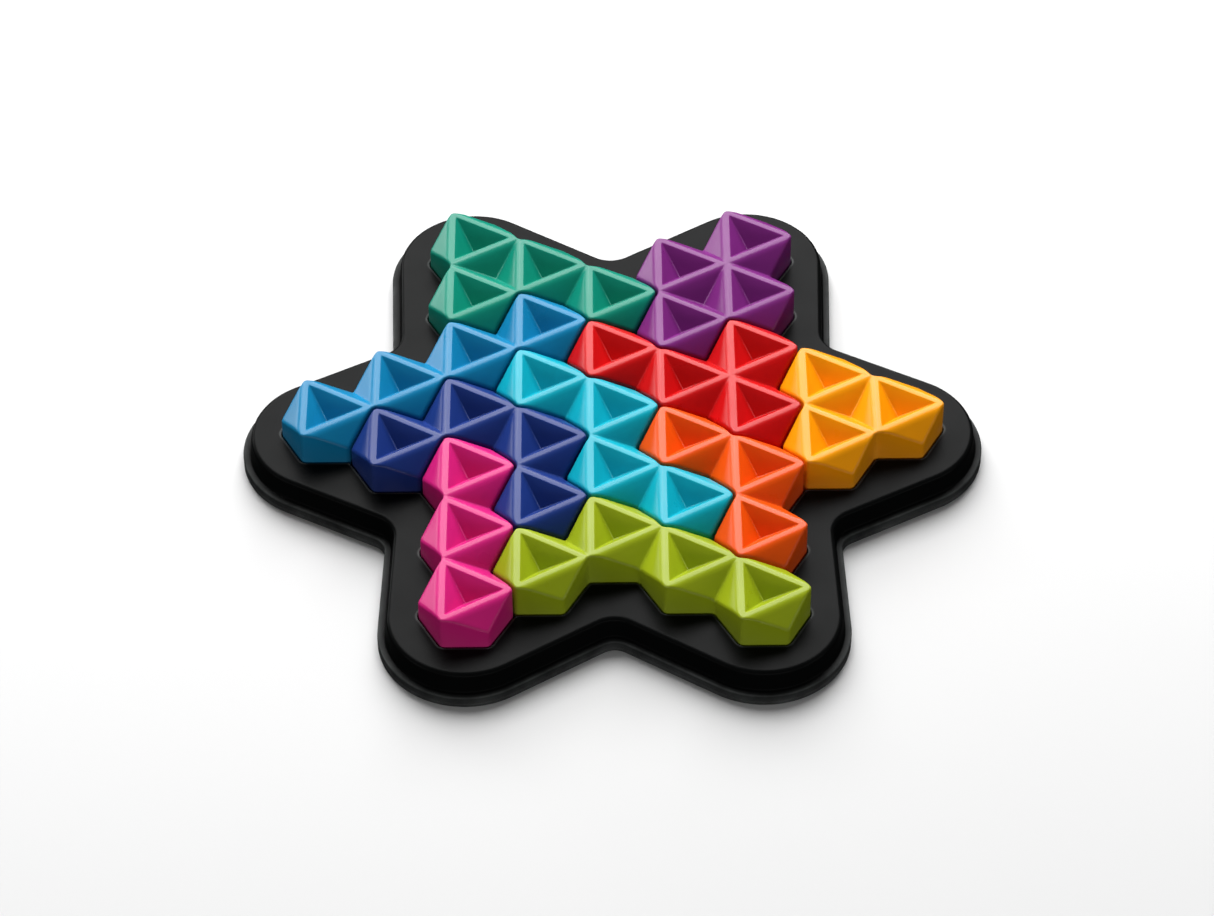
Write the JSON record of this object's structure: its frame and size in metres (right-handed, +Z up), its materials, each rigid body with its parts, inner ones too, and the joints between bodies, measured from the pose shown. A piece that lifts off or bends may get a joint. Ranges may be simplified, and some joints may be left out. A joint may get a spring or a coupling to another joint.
{
  "type": "star tray puzzle",
  "caption": "Star-shaped tray puzzle: moulded pieces of joined six-sided cells with three-sided pockets fill the recess of a black tray and lift straight out.",
  "frame": {"origin": "centre of the star on the table, under the middle of the base plate", "axes": "+X from the centre to the tip that the yellow piece fills, which is the longer way across; +Y to the side of the teal and purple pieces; +Z up, out of the tray"},
  "size_m": [0.1984, 0.178, 0.0193],
  "materials": {
    "black_tray_plastic": "satin, fine moulded grain",
    "black_plate_plastic": "matt",
    "teal_plastic": "satin gloss, solid colour",
    "purple_plastic": "satin gloss, solid colour",
    "light_blue_plastic": "satin gloss, solid colour",
    "dark_blue_plastic": "satin gloss, solid colour",
    "pink_plastic": "satin gloss, solid colour",
    "cyan_plastic": "satin gloss, solid colour",
    "red_plastic": "satin gloss, solid colour",
    "orange_plastic": "satin gloss, solid colour",
    "lime_plastic": "satin gloss, solid colour",
    "yellow_plastic": "satin gloss, solid colour"
  },
  "bodies": {
    "tray": {"star_tray": "black_tray_plastic", "base_plate": "black_plate_plastic"},
    "teal_piece": {"teal_piece": "teal_plastic"},
    "purple_piece": {"purple_piece": "purple_plastic"},
    "light_blue_piece": {"light_blue_piece": "light_blue_plastic"},
    "dark_blue_piece": {"dark_blue_piece": "dark_blue_plastic"},
    "pink_piece": {"pink_piece": "pink_plastic"},
    "cyan_piece": {"cyan_piece": "cyan_plastic"},
    "red_piece": {"red_piece": "red_plastic"},
    "orange_piece": {"orange_piece": "orange_plastic"},
    "lime_piece": {"lime_piece": "lime_plastic"},
    "yellow_piece": {"yellow_piece": "yellow_plastic"}
  },
  "joints": [
    {"name": "teal_piece_lift", "type": "slide", "parent": "tray", "child": "teal_piece", "axis": [0, 0, 1], "range_m": [0, 0.04]},
    {"name": "purple_piece_lift", "type": "slide", "parent": "tray", "child": "purple_piece", "axis": [0, 0, 1], "range_m": [0, 0.04]},
    {"name": "light_blue_piece_lift", "type": "slide", "parent": "tray", "child": "light_blue_piece", "axis": [0, 0, 1], "range_m": [0, 0.04]},
    {"name": "dark_blue_piece_lift", "type": "slide", "parent": "tray", "child": "dark_blue_piece", "axis": [0, 0, 1], "range_m": [0, 0.04]},
    {"name": "pink_piece_lift", "type": "slide", "parent": "tray", "child": "pink_piece", "axis": [0, 0, 1], "range_m": [0, 0.04]},
    {"name": "cyan_piece_lift", "type": "slide", "parent": "tray", "child": "cyan_piece", "axis": [0, 0, 1], "range_m": [0, 0.04]},
    {"name": "red_piece_lift", "type": "slide", "parent": "tray", "child": "red_piece", "axis": [0, 0, 1], "range_m": [0, 0.04]},
    {"name": "orange_piece_lift", "type": "slide", "parent": "tray", "child": "orange_piece", "axis": [0, 0, 1], "range_m": [0, 0.04]},
    {"name": "lime_piece_lift", "type": "slide", "parent": "tray", "child": "lime_piece", "axis": [0, 0, 1], "range_m": [0, 0.04]},
    {"name": "yellow_piece_lift", "type": "slide", "parent": "tray", "child": "yellow_piece", "axis": [0, 0, 1], "range_m": [0, 0.04]}
  ]
}
